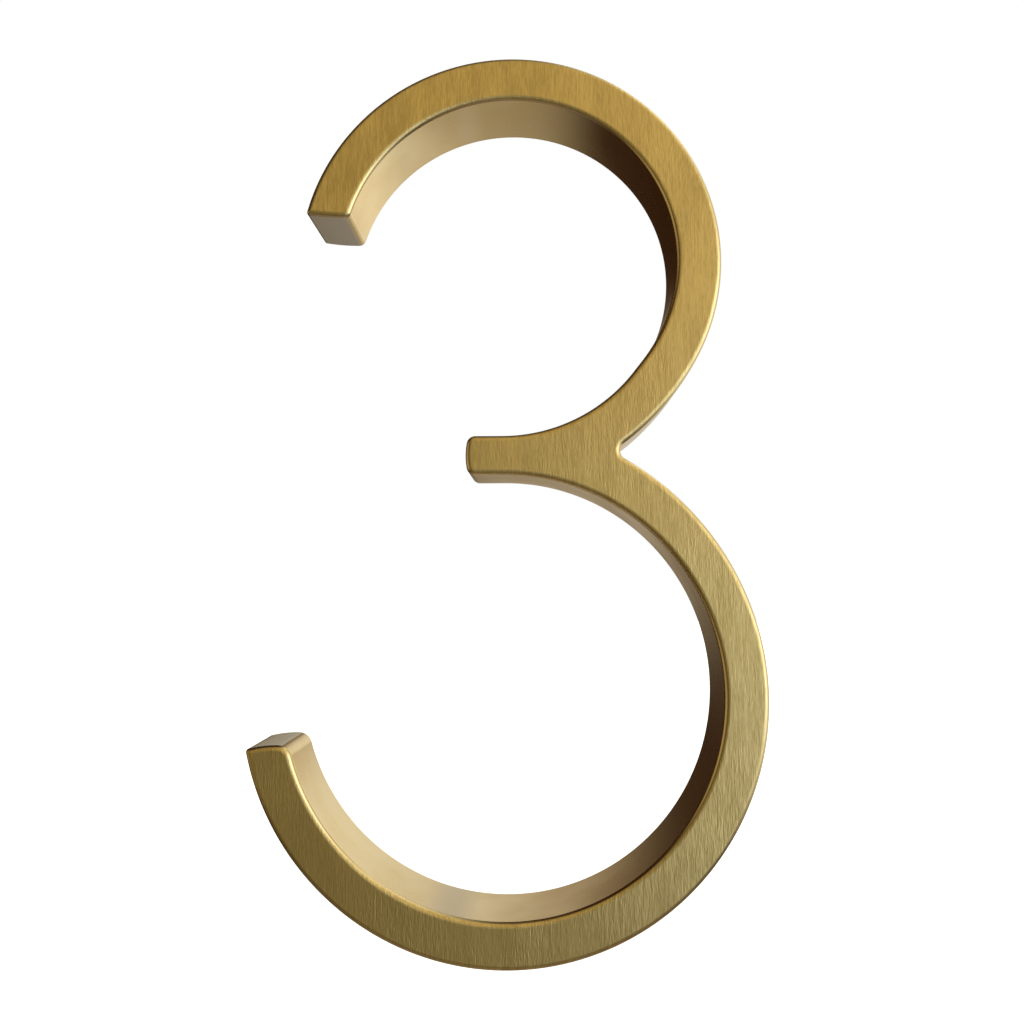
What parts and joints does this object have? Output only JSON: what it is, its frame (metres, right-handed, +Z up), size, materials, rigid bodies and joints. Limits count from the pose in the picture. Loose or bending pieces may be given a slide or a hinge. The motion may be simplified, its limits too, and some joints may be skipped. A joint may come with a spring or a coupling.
{
  "type": "door number",
  "caption": "Cast brass numeral three with a brushed face, satin sides and two tapped holes in its flat back for fixing studs",
  "frame": {"origin": "on the flat back, midway between the centres of the two tapped holes, one at the crown and one at the foot", "axes": "upright as it is fixed: +Z up along the numeral's height, +X to the right of someone reading it, +Y into the door, face towards -Y"},
  "size_m": [0.0711, 0.0108, 0.127],
  "materials": {
    "brushed_brass": "face brushed in fine upright lines, rounded edges and sides satin, clear lacquered"
  },
  "bodies": {
    "root": {"door_number": "brushed_brass"}
  },
  "joints": []
}
